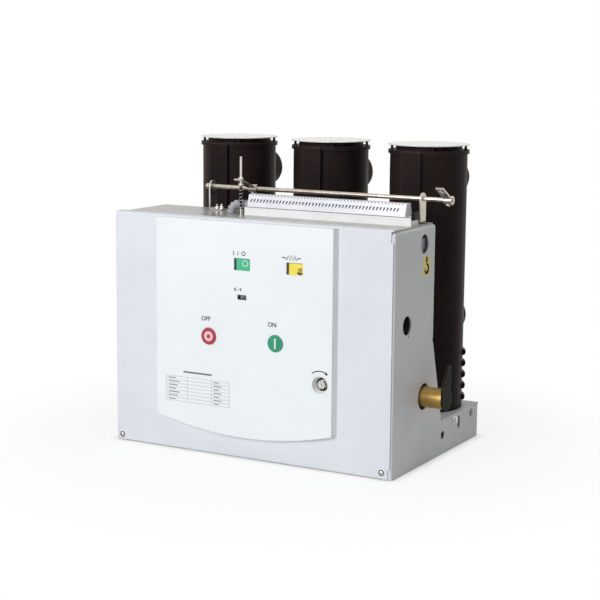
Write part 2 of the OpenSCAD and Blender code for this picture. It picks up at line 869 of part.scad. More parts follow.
// Rail and terminal row of the control wiring
module terminal_base() {
    row_d = strip_top_w - 4 * strip_wall;
    inset = 3 * strip_wall;
    row_x = strip_left_x + strip_cover_start + inset;
    color("#f4f4f2") {
        translate([strip_left_x, strip_y, top_z])
            cube([strip_right_x - strip_left_x, strip_d, strip_base_h]);
        translate([row_x, strip_y + (strip_d - row_d) / 2, top_z + strip_base_h - eps])
            cube([strip_right_x - strip_cover_end - inset - row_x, row_d, strip_cover_h - inset]);
    }
}

module strip_section(wall) {
    mid = strip_y + strip_d / 2;
    low = top_z + strip_base_h - (wall > 0 ? 1 : 0);
    high = top_z + strip_base_h + strip_cover_h - wall;
    low_half = strip_d / 2 - wall;
    top_half = strip_top_w / 2 - wall;
    polygon([[mid - low_half, low], [mid + low_half, low], [mid + top_half, high], [mid - top_half, high]]);
}

// Clear cover over the terminal row
module terminal_cover() {
    start_x = strip_left_x + strip_cover_start;
    length = strip_right_x - strip_cover_end - start_x;
    color("#dedcec") difference() {
        along_x(start_x, length) strip_section(0);
        along_x(start_x + strip_wall, length - 2 * strip_wall) strip_section(strip_wall);
    }
}

// Sleeve that takes the control wires from the strip down into the box
module wiring_sleeve() {
    bend_x = strip_left_x - sleeve_l;
    sleeve_y = strip_y + strip_d / 2 + sleeve_shift;
    span = sleeve_bend + sleeve_r + 1;
    color("#9a98a2") translate([bend_x, sleeve_y, top_z]) {
        translate([0, 0, sleeve_bend]) bar_x(0, sleeve_l, sleeve_r);
        rotate([90, 0, 0]) intersection() {
            rotate_extrude() translate([sleeve_bend, 0]) circle(r = sleeve_r);
            translate([-span, 0, -span]) cube([span + eps, span, 2 * span]);
        }
    }
}

left_side_plate();
right_side_plate();
top_plate();
rear_plate();
bottom_plate();
pole_deck();
base_rear_rail();
front_cover();
fascia_panel();
position_indicator();
charge_indicator();
operation_counter();
off_button();
on_button();
charging_socket();
charging_shaft();
main_shaft();
shaft_lever();
shaft_bearing_left();
shaft_bearing_right();
pole_left();
pole_middle();
pole_right();
pole_cap_left();
pole_cap_middle();
pole_cap_right();
upper_terminal_left();
upper_terminal_middle();
upper_terminal_right();
lower_terminal_left();
lower_terminal_middle();
lower_terminal_right();
interlock_bracket_left();
interlock_bracket_right();
interlock_rod();
interlock_lever();
interlock_paddle();
push_rod();
push_rod_spring();
terminal_base();
terminal_cover();
wiring_sleeve();
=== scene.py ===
# %% [markdown]
# # An indoor vacuum circuit breaker
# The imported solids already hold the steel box, the three poles and everything that moves. This lesson
# gives them real finishes and adds what is too small for solids: screws, nuts, print, the wound spring
# and the ribbed sleeve. Loading the frame first means that every later piece can be placed from it.

# %% Load the frame
import json
from math import cos, pi, radians, sin

import bmesh
import bpy
from mathutils import Matrix, Vector


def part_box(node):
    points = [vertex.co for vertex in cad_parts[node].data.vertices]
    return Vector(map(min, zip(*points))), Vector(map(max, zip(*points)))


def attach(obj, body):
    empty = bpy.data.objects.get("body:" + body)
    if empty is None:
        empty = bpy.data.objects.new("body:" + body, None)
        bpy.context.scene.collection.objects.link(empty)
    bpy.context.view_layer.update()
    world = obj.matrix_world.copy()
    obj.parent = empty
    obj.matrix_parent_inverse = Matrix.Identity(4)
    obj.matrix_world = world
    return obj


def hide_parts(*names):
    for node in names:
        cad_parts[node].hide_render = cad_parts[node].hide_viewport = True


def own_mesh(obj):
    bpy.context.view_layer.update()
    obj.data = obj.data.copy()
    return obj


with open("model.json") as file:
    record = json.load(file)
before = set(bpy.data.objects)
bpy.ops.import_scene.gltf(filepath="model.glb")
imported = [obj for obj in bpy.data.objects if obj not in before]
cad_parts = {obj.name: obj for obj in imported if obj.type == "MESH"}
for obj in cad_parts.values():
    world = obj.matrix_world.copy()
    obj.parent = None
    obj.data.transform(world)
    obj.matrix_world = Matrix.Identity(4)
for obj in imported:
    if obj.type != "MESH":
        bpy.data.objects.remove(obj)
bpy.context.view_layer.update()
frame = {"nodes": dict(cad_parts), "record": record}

MM = 0.001
scene = bpy.context.scene
slot_of = {row["node"]: row["material_slot"] for row in frame["record"]["subparts"]}

# %% [markdown]
# ## The camera
# The photograph looks at the front from the right and a little above, through a long lens. The place and
# the three axes of the camera were solved from points of the breaker, so they are written as they came
# out: a matrix of axes keeps the small roll that a look-at helper would lose.

# %% Camera
CAMERA_AT = (1.4546, -2.6176, 0.7611)
CAMERA_RIGHT = Vector((0.87344, 0.48685, 0.00850))
CAMERA_UP = Vector((-0.08610, 0.13725, 0.98679))
CAMERA_BACK = Vector((0.47925, -0.86264, 0.16180))
camera_data = bpy.data.cameras.new("photo_camera")
camera_data.sensor_fit = "HORIZONTAL"
camera_data.sensor_width = 36.0
camera_data.lens = 94.65
camera_data.clip_end = 50.0
camera = bpy.data.objects.new("photo_camera", camera_data)
scene.collection.objects.link(camera)
camera.matrix_world = Matrix.Translation(CAMERA_AT) @ Matrix(
    (CAMERA_RIGHT, CAMERA_UP, CAMERA_BACK)).transposed().to_4x4()
scene.camera = camera
scene.view_settings.view_transform = "Standard"
print("camera:", [round(x, 2) for x in camera.location])

# %% [markdown]
# ## Colours and shader nodes
# Colours are read off as sRGB hex values, and Blender's shaders count in linear light, so one function
# turns them over. A second one adds a shader node, sets it and links it. Everything else is built from
# these two, which keeps each finish short enough to read.

# %% Two small helpers for materials
def linear(code):
    """Linear RGBA of an sRGB hex colour."""
    parts = [int(code[i:i + 2], 16) / 255 for i in (1, 3, 5)]
    return [p / 12.92 if p <= 0.04045 else ((p + 0.055) / 1.055) ** 2.4 for p in parts] + [1.0]


def add(tree, kind, inputs=(), **settings):
    """Adds a shader node: settings are its properties, inputs are values or sockets to link."""
    node = tree.nodes.new("ShaderNode" + kind)
    for key, value in settings.items():
        setattr(node, key, value)
    for key, value in dict(inputs).items():
        if isinstance(value, bpy.types.NodeSocket):
            tree.links.new(value, node.inputs[key])
        else:
            node.inputs[key].default_value = value
    return node


print("white is", linear("#ffffff"))

# %% [markdown]
# ## What most finishes share
# A sprayed, moulded or plated surface drifts slowly in colour, has a fine grain, and is rubbed paler along
# its edges. The Bevel node rounds the shading of a sharp edge, and where its normal leaves the face's own
# normal there is an edge to colour. On some finishes that edge colour is painted light as well as wear: a
# painted highlight along folds, ribs and the lever's edge, and painted shade along the cap's rim. Each
# finish then only says its sizes in millimetres.

# %% The common surface
def surface(name, colour, shade, worn_and_lit, roughness, grain_mm, grain_deep_mm, patch_mm=70.0, edge_mm=0.7,
            wear_and_light_share=0.35, spread=0.07, stretch=(1, 1, 1), relief=None, **shader):
    """A material with colour drift, grain and an edge colour of wear and painted light; relief(tree, place)
    may give the grain.
    """
    made = bpy.data.materials.new(name)
    made.use_nodes = True
    tree = made.node_tree
    tree.nodes.clear()
    place = add(tree, "TexCoord").outputs["Object"]
    along = add(tree, "Mapping", {"Vector": place, "Scale": stretch}).outputs[0]
    patches = add(tree, "TexNoise", {"Vector": place, "Scale": 1 / (patch_mm * MM), "Detail": 4.0,
                                     "Roughness": 0.6}).outputs[0]
    if relief:
        grain = relief(tree, place)
    else:
        grain = add(tree, "TexNoise", {"Vector": along, "Scale": 1 / (grain_mm * MM),
                                       "Detail": 2.0}).outputs[0]
    rounded = add(tree, "Bevel", {"Radius": edge_mm * MM}, samples=4).outputs[0]
    facing = add(tree, "NewGeometry").outputs["Normal"]
    turned = add(tree, "VectorMath", {0: rounded, 1: facing}, operation="DOT_PRODUCT").outputs["Value"]
    # Edge colour: rubbed wear, plus painted highlight on the powder coat, epoxy and black oxide, and painted
    # shade on the cap.
    edge = add(tree, "MapRange", {"Value": turned, "From Min": 0.99, "From Max": 0.8,
                                  "To Max": wear_and_light_share}).outputs[0]
    patchy = add(tree, "Math", {0: edge, 1: patches}, operation="MULTIPLY").outputs[0]
    spots = add(tree, "MapRange", {"Value": patches, "From Min": 0.3, "From Max": 0.7}).outputs[0]
    body = add(tree, "Mix", {0: spots, 6: linear(shade), 7: linear(colour)}, data_type="RGBA").outputs[2]
    edge_worn_and_lit = add(tree, "Mix", {0: patchy, 6: body, 7: linear(worn_and_lit)}, data_type="RGBA").outputs[2]
    uneven = add(tree, "Math", {0: patches, 1: grain}, operation="ADD").outputs[0]
    rough = add(tree, "MapRange", {"Value": uneven, "From Min": 0.6, "From Max": 1.4,
                                   "To Min": roughness - spread, "To Max": roughness + spread}).outputs[0]
    bump = add(tree, "Bump", {"Height": grain, "Distance": grain_deep_mm * MM, "Strength": 1.0,
                              "Normal": rounded}).outputs[0]
    shading = add(tree, "BsdfPrincipled", {"Base Color": edge_worn_and_lit, "Roughness": rough, "Normal": bump})
    for key, value in shader.items():
        shading.inputs[key.replace("_", " ")].default_value = value
    tree.links.new(shading.outputs[0], add(tree, "OutputMaterial").inputs[0])
    return made


print("surface: colour drift, grain, rubbed edges")

# %% [markdown]
# ## Painted steel
# The box is folded from 3 mm sheet and powder coated a cool light grey. Baked powder flows into the soft
# dimples called orange peel, about 2 mm apart, so the grain is that wide and very shallow. The top plate
# has a darker, glossier coat, and the angle behind each lifting hole a coat with a lavender tint.

# %% Powder coat and gloss paint
# The strong pale edge colour of the powder coat is partly rubbed paint and mostly painted highlight where the
# rounded folds catch light.
powder_coat = surface("powder_coat_light_grey", "#dfe1e6", "#d8dadf", "#f8f9fa", 0.42, 2.2, 0.035,
                      patch_mm=160, edge_mm=1.8, wear_and_light_share=0.9, Specular_IOR_Level=0.3)
top_paint = surface("gloss_paint_grey", "#aaa7a2", "#a09d98", "#cfccc8", 0.28, 1.8, 0.02, patch_mm=120)
pocket_paint = surface("powder_coat_lavender", "#c3c3d2", "#b6b6c6", "#d6d6e2", 0.45, 2.2, 0.035, patch_mm=60)
print(powder_coat.name, top_paint.name, pocket_paint.name)

# %% [markdown]
# ## Moulded plastics
# The fascia, windows and buttons are injection moulded ABS and polycarbonate. A mould is spark eroded to a
# satin skin with a grain near 0.5 mm, drawn here a little coarser so that it shows. Buttons are smoother.

# %% ABS, flags and buttons
fascia_abs = surface("moulded_abs_white", "#ebeeef", "#e6e9ea", "#f3f5f5", 0.38, 0.9, 0.012, patch_mm=200,
                     edge_mm=1.5)
green_flag = surface("printed_flag_green", "#43b98b", "#3cae80", "#8fd9bb", 0.3, 0.8, 0.006, patch_mm=14)
yellow_flag = surface("printed_flag_yellow", "#f4df5c", "#ecd346", "#f8efa8", 0.3, 0.8, 0.006, patch_mm=14)
black_abs = surface("moulded_abs_black", "#222325", "#1b1c1e", "#55575a", 0.4, 0.8, 0.012, patch_mm=20,
                    Specular_IOR_Level=0.04)
red_button_abs = surface("moulded_abs_red", "#ad333f", "#a02b37", "#d0707a", 0.32, 0.8, 0.012, patch_mm=18,
                         edge_mm=2.0)
green_button_abs = surface("moulded_abs_green", "#23946f", "#1d8763", "#6fc3a6", 0.32, 0.8, 0.012,
                           patch_mm=18, edge_mm=2.0)
socket_abs = surface("moulded_abs_pale_grey", "#f8fafa", "#eef1f1", "#fdfdfd", 0.36, 0.9, 0.012, patch_mm=25)
mark_pink = surface("inlaid_abs_pale_pink", "#eec9cc", "#e6bcc0", "#f6e2e4", 0.34, 0.8, 0.01, patch_mm=12)
mark_white = surface("inlaid_abs_white", "#e9f3ee", "#dfece6", "#f6faf8", 0.34, 0.8, 0.01, patch_mm=12)
mark_mint = surface("printed_ring_mint", "#bfe8d3", "#b2dfc8", "#dff4ea", 0.34, 0.8, 0.006, patch_mm=8)
# Painted shade: the two dark masks stand for the shade in the gap beside each window's flag.
green_gap_shade = surface("shadow_mask_dark_green", "#16301f", "#10261a", "#2e4a38", 0.45, 0.8, 0.01, patch_mm=12)
olive_gap_shade = surface("shadow_mask_olive", "#4a4316", "#3d3711", "#6a6230", 0.45, 0.8, 0.01, patch_mm=12)
spring_brown = surface("printed_mark_brown", "#3a2c10", "#2f230b", "#5b4a26", 0.45, 0.6, 0.006, patch_mm=8)
ink = surface("screen_print_black", "#222226", "#1b1b1f", "#4a4c52", 0.5, 0.6, 0.004, patch_mm=15, wear_and_light_share=0.0,
              Specular_IOR_Level=0.04)
pale_ink = surface("screen_print_grey", "#a9adb6", "#a0a4ad", "#b9bdc4", 0.5, 0.6, 0.004, patch_mm=15,
                   wear_and_light_share=0.0)
grey_ink = surface("screen_print_dark_grey", "#6a6d76", "#60636c", "#84878e", 0.5, 0.6, 0.004, patch_mm=15,
                   wear_and_light_share=0.0)
slot_ink = surface("terminal_slot_blue_grey", "#262a38", "#202430", "#4a4e60", 0.5, 0.6, 0.004, patch_mm=15,
                   wear_and_light_share=0.0, Specular_IOR_Level=0.1)
print("plastics:", fascia_abs.name, socket_abs.name)

# %% [markdown]
# ## Metals
# Bright zinc plate covers the brackets, rods and screws, and yellow passivated zinc the main shaft. Plated
# steel keeps the lines of its drawing or turning, so the noise is stretched along the lines. The lever is
# a blackened plate whose pale edges are partly bare metal and partly painted highlight, the spring is bright
# drawn wire, the bearing rings are phosphated black and drawn without gloss as painted shade in the gap round
# the shaft, and the terminals are copper with the rings of a facing cut.

# %% Plated steel and copper
def facing_rings(tree, place):
    """Rings of a facing cut about each terminal's axis: the poles repeat in X and the terminals in Z."""
    pole_pitch, ring_mm = 0.210, 1.6
    low_z, high_z = (sum(corner.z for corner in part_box(name)) / 2
                     for name in ("lower_terminal_left", "upper_terminal_left"))
    spacing = high_z - low_z
    parts = add(tree, "SeparateXYZ", {0: place})
    x = add(tree, "Math", {0: parts.outputs[0], 1: pole_pitch / 2, 2: -pole_pitch / 2},
            operation="WRAP").outputs[0]
    z = add(tree, "Math", {0: parts.outputs[2], 1: low_z}, operation="SUBTRACT").outputs[0]
    z = add(tree, "Math", {0: z, 1: spacing / 2, 2: -spacing / 2}, operation="WRAP").outputs[0]
    flat = add(tree, "CombineXYZ", {0: x, 2: z}).outputs[0]
    return add(tree, "TexWave", {"Vector": flat, "Scale": 1 / (ring_mm * MM * pi), "Distortion": 0.4},
               wave_type="RINGS", rings_direction="Y").outputs[1]


bright_zinc = surface("bright_zinc_plate", "#c6bcb2", "#aca398", "#e6dfd7", 0.22, 1.2, 0.01, patch_mm=25,
                      stretch=(0.06, 1, 1), Metallic=1.0)
silver_zinc = surface("silver_zinc_plate", "#dcd8d3", "#c6c1bb", "#f0eeeb", 0.16, 1.2, 0.01, patch_mm=25,
                      edge_mm=1.2, stretch=(1, 1, 0.06), Metallic=1.0)
yellow_zinc = surface("yellow_passivated_zinc", "#c9a968", "#ab8847", "#ead9a8", 0.38, 1.4, 0.012,
                      patch_mm=22, stretch=(1, 0.05, 0.05), Metallic=1.0)
# The pale edge colour of the black oxide is partly bare metal and partly painted highlight along the lever's
# front edge.
oxide_black = surface("black_oxide_plate", "#27271e", "#0c0c08", "#a5a288", 0.5, 1.6, 0.05, patch_mm=28,
                      edge_mm=1.6, wear_and_light_share=1.0, Specular_IOR_Level=0.04)
spring_steel = surface("drawn_spring_steel", "#cfcac4", "#b5afa8", "#e6e3df", 0.3, 0.8, 0.008, patch_mm=9,
                       Metallic=1.0)
# The bearing rings are phosphated black, and drawn near black with almost no gloss as painted shade in the
# gap round the shaft.
bearing_steel = surface("phosphated_bearing_steel", "#141415", "#0e0e0f", "#2c2d2e", 0.5, 1.0, 0.01,
                        patch_mm=25, stretch=(1, 0.06, 0.06), Specular_IOR_Level=0.03)
copper = surface("faced_copper", "#c08158", "#a9683f", "#e0b08e", 0.34, 1.0, 0.015, patch_mm=25,
                 relief=facing_rings, Metallic=1.0)
print("metals:", bright_zinc.name, yellow_zinc.name, oxide_black.name, spring_steel.name, copper.name)

# %% [markdown]
# ## Cast resin, clear cover and sleeve
# The poles are cast in brown-black epoxy with a satin skin and faint flow clouds. The strip's cover is
# clear polycarbonate with a lavender cast, and its base and the sleeve are soft PVC.

# %% Epoxy, polycarbonate and PVC
# The paler edge colour of the epoxy is painted highlight along the poles' edges, so that the ribs stand out.
pole_epoxy = surface("cast_epoxy_brown_black", "#2b211f", "#1d1716", "#6a5c58", 0.4, 2.0, 0.03, patch_mm=60,
                     edge_mm=2.5, wear_and_light_share=0.8, Specular_IOR_Level=0.04)
# The cap's dark edge colour is painted shade along the rim of each disc.
cap_moulding = surface("moulded_cap_pale_grey", "#f2f1ef", "#e8e7e5", "#8f8b87", 0.2, 1.0, 0.01, patch_mm=45,
                       edge_mm=1.5, wear_and_light_share=0.9)
strip_pvc = surface("moulded_pvc_white", "#f5f5f4", "#eeeeed", "#fdfdfd", 0.42, 0.9, 0.012, patch_mm=40)
clear_cover = surface("clear_polycarbonate_lavender", "#f6f6fb", "#ededf4", "#fcfcfe", 0.2, 1.0, 0.006,
                      patch_mm=40, spread=0.05, IOR=1.58, Transmission_Weight=0.12)
sleeve_pvc = surface("ribbed_pvc_clear_grey", "#d2d0d4", "#b8b6bb", "#ecebee", 0.35, 0.9, 0.02, patch_mm=12,
                     Transmission_Weight=0.3)
seam_grey = surface("moulded_pvc_seam_grey", "#6d6f79", "#63656f", "#8a8c94", 0.5, 0.9, 0.012, patch_mm=30)
print("resin and clear:", pole_epoxy.name, clear_cover.name)

# %% [markdown]
# ## Dressing the solids
# The record says which slot each solid belongs to, so one table from slot to finish dresses them all. Three
# small parts then get the brighter zinc.

# %% Finishes onto the solids
finish_of = {
    "grey_paint": powder_coat, "top_plate_paint": top_paint, "fascia_white": fascia_abs,
    "indicator_green": green_flag, "indicator_yellow": yellow_flag, "counter_black": black_abs,
    "button_red": red_button_abs, "button_green": green_button_abs, "socket_white": socket_abs,
    "yellow_zinc": yellow_zinc, "lever_black": oxide_black, "bearing_steel": bearing_steel,
    "pole_epoxy": pole_epoxy, "cap_grey": cap_moulding, "terminal_copper": copper,
    "bright_zinc": bright_zinc, "strip_white": strip_pvc, "strip_cover_clear": clear_cover,
    "sleeve_grey": sleeve_pvc,
}
for name, node in frame["nodes"].items():
    if not node.material_slots:
        node.data.materials.append(None)
    for held in node.material_slots:
        held.link = "OBJECT"
        held.material = finish_of[slot_of[name]]
for name in ("push_rod", "interlock_bracket_left", "charging_shaft"):
    frame["nodes"][name].material_slots[0].material = silver_zinc
print("dressed", len(frame["nodes"]), "solids in", len(finish_of), "finishes")

# %% [markdown]
# ## Tools for small pieces
# Screws and nuts are turned profiles, plates are extruded outlines, and wires are swept circles. Each tool
# adds to a bmesh in millimetres at a place on the breaker. The last one bevels the sharp edges, since a
# real edge always catches some light, and hands the piece to the body that it moves with.

# %% Turning, extruding and sweeping
def seat(at, facing=(0, 0, 1), spin=0.0):
    """Place for a shape drawn in mm along +Z: at a point, facing a direction, spun about it.

    A shape that faces up is turned half round about Z unless spin is pi."""
    axes = Vector(facing).normalized().to_track_quat("Z", "Y").to_matrix().to_4x4()
    return Matrix.Translation(Vector(at) * MM) @ axes @ Matrix.Rotation(spin, 4, "Z") @ Matrix.Scale(MM, 4)


def skin(bm, rings, closed=False):
    """Joins rings of points into a skin; single points close an end, and closed joins last to first."""
    rows = [[bm.verts.new(p) for p in ring] for ring in rings]
    for a, b in zip(rows, rows[1:] + (rows[:1] if closed else [])):
        for i in range(max(len(a), len(b))):
            corners = [a[i % len(a)], a[(i + 1) % len(a)], b[(i + 1) % len(b)], b[i % len(b)]]
            bm.faces.new(list(dict.fromkeys(corners)))
    for row in () if closed else (rows[0], rows[-1]):
        if len(row) > 2:
            bm.faces.new(row)


def turn(bm, place, profile, sides=32):
    """Turns a profile of (radius, height) about the local axis; six sides give a hexagon."""
    skin(bm, [[place @ Vector((r * cos(2 * pi * k / sides), r * sin(2 * pi * k / sides), h))
               for k in range(sides if r else 1)] for r, h in profile])


def ring(bm, place, inner, outer, low, high, sides=48):
    """A flat ring."""
    section = [(inner, low), (outer, low), (outer, high), (inner, high)]
    skin(bm, [[place @ Vector((r * cos(2 * pi * k / sides), r * sin(2 * pi * k / sides), h))
               for k in range(sides)] for r, h in section], closed=True)


def slab(bm, place, outline, low, high):
    """Extrudes an outline of (x, y) points."""
    skin(bm, [[place @ Vector((x, y, h)) for x, y in outline] for h in (low, high)])


def oblong(x0, y0, x1, y1):
    """Outline of a rectangle."""
    return [(x0, y0), (x1, y0), (x1, y1), (x0, y1)]


def stroke(bm, place, path, widths, low, high):
    """Extrudes a pen stroke along (x, y) points; widths is one width for each point."""
    sides = [[], []]
    for i, (x, y) in enumerate(path):
        (x0, y0), (x1, y1) = path[max(i - 1, 0)], path[min(i + 1, len(path) - 1)]
        across = Vector((y0 - y1, x1 - x0)).normalized() * widths[i] / 2
        sides[0].append((x + across.x, y + across.y))
        sides[1].append((x - across.x, y - across.y))
    slab(bm, place, sides[0] + sides[1][::-1], low, high)


def wire(bm, path, radii, sides=10):
    """Sweeps a circle along points in mm; radii is one radius for each point."""
    points = [Vector(p) * MM for p in path]
    normal, rings = None, []
    for i, point in enumerate(points):
        ahead = (points[min(i + 1, len(points) - 1)] - points[max(i - 1, 0)]).normalized()
        normal = ahead.orthogonal() if normal is None else normal - ahead * normal.dot(ahead)
        normal.normalize()
        other = ahead.cross(normal)
        turns = [2 * pi * k / sides for k in range(sides)]
        rings.append([point + (normal * cos(a) + other * sin(a)) * radii[i] * MM for a in turns])
    skin(bm, rings)


def piece(name, bm, finish, body="frame", edge=0.0):
    """Makes an object of a bmesh, with bevelled edges, and lets it ride on a body."""
    bmesh.ops.recalc_face_normals(bm, faces=bm.faces)
    if edge:
        sharp = [e for e in bm.edges if e.is_manifold and e.calc_face_angle(0.0) > radians(30)]
        bmesh.ops.bevel(bm, geom=sharp, offset=edge * MM, segments=2, profile=0.5, affect="EDGES")
    mesh = bpy.data.meshes.new(name)
    bm.to_mesh(mesh)
    bm.free()
    mesh.shade_smooth()
    mesh.set_sharp_from_angle(angle=radians(35))
    mesh.materials.append(finish)
    made = bpy.data.objects.new(name, mesh)
    scene.collection.objects.link(made)
    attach(made, body)
    print(f"{name}: {len(mesh.polygons)} faces on {body}")
    return made


FRONT, RIGHT, LEFT, BACK, UP = (0, -1, 0), (1, 0, 0), (-1, 0, 0), (0, 1, 0), (0, 0, 1)

# %% [markdown]
# ## Print on the fascia
# The fascia carries small black print: OFF and ON over their buttons, a closed and open sign and a spring
# sign over the windows, the range of a drum's digits over the counter, and a blank ruled form. Blender's own
# letters become a mesh, because print that is geometry needs no picture and stays sharp.

# %% Lettering
CAPITAL_SHARE = 0.7      # a capital's height as a share of the font's size
PRINT_LIFT, PEN_GROWTH = 0.06, 0.25


def letters(bm, words, place, height_mm):
    """Adds words as thin raised print, centred at a place."""
    line = bpy.data.curves.new("words", "FONT")
    line.body = words
    line.align_x, line.align_y = "CENTER", "CENTER"
    line.size = height_mm / CAPITAL_SHARE
    line.extrude = PRINT_LIFT
    line.offset = PEN_GROWTH
    line.resolution_u = 4
    carrier = bpy.data.objects.new("words", line)
    scene.collection.objects.link(carrier)
    bpy.context.view_layer.update()
    mesh = bpy.data.meshes.new_from_object(carrier.evaluated_get(bpy.context.evaluated_depsgraph_get()))
    mesh.transform(place)
    bm.from_mesh(mesh)
    bpy.data.objects.remove(carrier)
    bpy.data.curves.remove(line)
    bpy.data.meshes.remove(mesh)


def middle(node):
    """Middle of a node's box, in mm."""
    low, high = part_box(node)
    return (low + high) / 2 / MM


FACE_Y, COVER_Y = (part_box(name)[0].y / MM for name in ("fascia_panel", "front_cover"))
PRINT = 0.12
flag, charge, counter = middle("position_indicator"), middle("charge_indicator"), middle("operation_counter")


def on_face(x, z):
    """Place on the fascia's face."""
    return seat((x, FACE_Y, z), FRONT)


OFF_WORD, ON_WORD, WORD_H = (-82, 256.9), (58.5, 258.4), 8.0
SIGN_RISE, SIGN_H, SIGN_END, ZIGZAG_END, ZIGZAG_H, SIGN_PEN = 19.5, 7.5, 19, 13, 4.2, 1.9
DIGITS_RISE, DIGITS_H = 13.5, 6.0
print_bm = bmesh.new()
letters(print_bm, "OFF", on_face(*OFF_WORD), WORD_H)
letters(print_bm, "ON", on_face(*ON_WORD), WORD_H)
letters(print_bm, "I  /  O", on_face(flag.x - 5.6, flag.z + SIGN_RISE), SIGN_H)
zigzag = [(-ZIGZAG_END + 2 * ZIGZAG_END * k / 8, (0, ZIGZAG_H, -ZIGZAG_H)[0 if k in (0, 8) else 1 + k % 2])
          for k in range(9)]
spring_sign = [(-SIGN_END, 0)] + zigzag + [(SIGN_END, 0)]
stroke(print_bm, on_face(charge.x - 6.6, charge.z + SIGN_RISE), spring_sign, [SIGN_PEN] * len(spring_sign),
       0, PRINT)
letters(print_bm, "0 - 9", on_face(counter.x - 8.7, counter.z + DIGITS_RISE), DIGITS_H)
piece("fascia_print", print_bm, ink)

# %% [markdown]
# ## Mould draft
# A moulded tray needs draft to leave its mould: its sides lean out towards the foot, so they catch light
# from the front. The solid has upright sides, and a thin wedge on each gives them that lean. It is sunk
# 0.2 mm into the solid, so that no gap shows.

# %% Draft on the fascia's sides
fascia_low, fascia_high = (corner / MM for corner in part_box("fascia_panel"))
DRAFT, SUNK, CORNER_Z = 4.0, 0.2, 70.0
draft_bm = bmesh.new()
for x, way in ((fascia_low.x, -1), (fascia_high.x, 1)):
    wedge = [(-SUNK * way, FACE_Y + SUNK / 2), (DRAFT * way, COVER_Y), (-SUNK * way, COVER_Y)]
    slab(draft_bm, seat((x, 0, 0), UP, pi), wedge, CORNER_Z, fascia_high.z - 0.3)
piece("fascia_draft", draft_bm, fascia_abs)

# %% [markdown]
# ## Arrow and form
# The crank's direction arrow is an arc above the charging socket with a head at its end. Below the buttons
# a blank form is ruled in pale grey, with short bars as its headings.

# %% Crank arrow and ruled plate
socket = middle("charging_socket")
arrow_bm = bmesh.new()
SWEEP_R, HEAD, ARROW_PEN = 25.5, 3.2, 1.8
above_socket = on_face(socket.x, socket.z)
arc = [radians(130 - 4 * k) for k in range(18)]
sweep = [(SWEEP_R * cos(a), SWEEP_R * sin(a)) for a in arc]
stroke(arrow_bm, above_socket, sweep, [ARROW_PEN] * len(sweep), 0, PRINT)
corners = [(SWEEP_R - HEAD, 64), (SWEEP_R + HEAD, 64), (SWEEP_R - 0.4, 50)]
head = [(r * cos(radians(a)), r * sin(radians(a))) for r, a in corners]
slab(arrow_bm, above_socket, head, 0, PRINT)
piece("crank_arrow", arrow_bm, ink)
plate_bm, entry_bm = bmesh.new(), bmesh.new()
PLATE_X, PLATE_LOW, PLATE_END, ROW, ROWS, RULE, BAR = -100.5, 95.3, 69, 6.7, 7, 0.3, 0.8
half = ROWS / 2 * ROW
for k in range(ROWS + 1):
    rule_at = on_face(PLATE_X, PLATE_LOW + ROW * k)
    slab(plate_bm, rule_at, oblong(-PLATE_END, -RULE, PLATE_END, RULE), 0, PRINT)
for x in (-PLATE_END, -22, 30, PLATE_END):
    slab(plate_bm, on_face(PLATE_X + x, PLATE_LOW + half), oblong(-RULE, -half, RULE, half), 0, PRINT)
for k in range(ROWS):
    for x, length in ((-64, 16 + 4 * (k % 3)), (35, 12 + 5 * (k % 2))):
        row_at = on_face(PLATE_X + x, PLATE_LOW + ROW * (k + 0.5))
        slab(entry_bm, row_at, oblong(0, -BAR, length, BAR), 0, PRINT)
slab(entry_bm, on_face(PLATE_X, PLATE_LOW + 8.5 * ROW), oblong(-31, -2 * BAR, 31, 2 * BAR), 0, PRINT)
piece("ruled_data_plate", plate_bm, pale_ink)
piece("plate_entries", entry_bm, grey_ink)

# %% [markdown]
# ## Behind the windows
# Each flag sits 3 mm behind the fascia. The left and the top of a window look into the gap beside the
# flag, and a thin dark mask there is painted shade for that gap. The flags carry an open ring and a coiled
# spring, and the counter shows its drums.

# %% Window masks, flag marks and counter drums
FLAG_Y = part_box("position_indicator")[0].y / MM
WINDOW_X, WINDOW_Z, MARK = 17, 11, 0.3      # half a window's width and height, a mark's thickness


def on_flag(centre, x, z, spin=0.0):
    """Place on a flag, from the middle of its window."""
    return seat((centre.x + x, FLAG_Y, centre.z + z), FRONT, spin)


def mask(name, centre, band, finish):
    """Painted shade: a dark L along the left and the top of a window."""
    bm = bmesh.new()
    inner = band - WINDOW_X
    outline = [(-WINDOW_X, -WINDOW_Z), (inner, -WINDOW_Z), (inner, WINDOW_Z - 1), (WINDOW_X, WINDOW_Z - 1),
               (WINDOW_X, WINDOW_Z), (-WINDOW_X, WINDOW_Z)]
    slab(bm, on_flag(centre, 0, 0), outline, 0, 0.4)
    return piece(name, bm, finish)


mask("open_flag_mask", flag, 3.5, green_gap_shade)
mask("spring_flag_mask", charge, 4.0, olive_gap_shade)
open_bm = bmesh.new()
ring(open_bm, on_flag(flag, 5, 2), 4.4, 6.4, 0, MARK)
piece("open_flag_ring", open_bm, mark_mint)
coil_bm = bmesh.new()
for k in range(3):
    slab(coil_bm, on_flag(charge, 9, 1.0 - 2.8 * k, radians(8)), oblong(-4.5, -0.7, 4.5, 0.7), 0, MARK)
bowl = [(6.0 * cos(pi + pi * k / 12), 4.0 * sin(pi + pi * k / 12)) for k in range(13)]
slab(coil_bm, on_flag(charge, 9, -6.2), bowl, 0, MARK)
piece("spring_flag_mark", coil_bm, spring_brown)
drum_bm = bmesh.new()
for k in range(3):
    letters(drum_bm, "017"[k], on_flag(counter, -2 + 4.6 * k, 0), 5.5)
piece("counter_digits", drum_bm, pale_ink)

# %% [markdown]
# ## Button inlays
# Two-shot moulding sets a paler mark into each button. They are turned rings and a bar that stand a hair
# proud, and they ride on the buttons, so they go in with them.

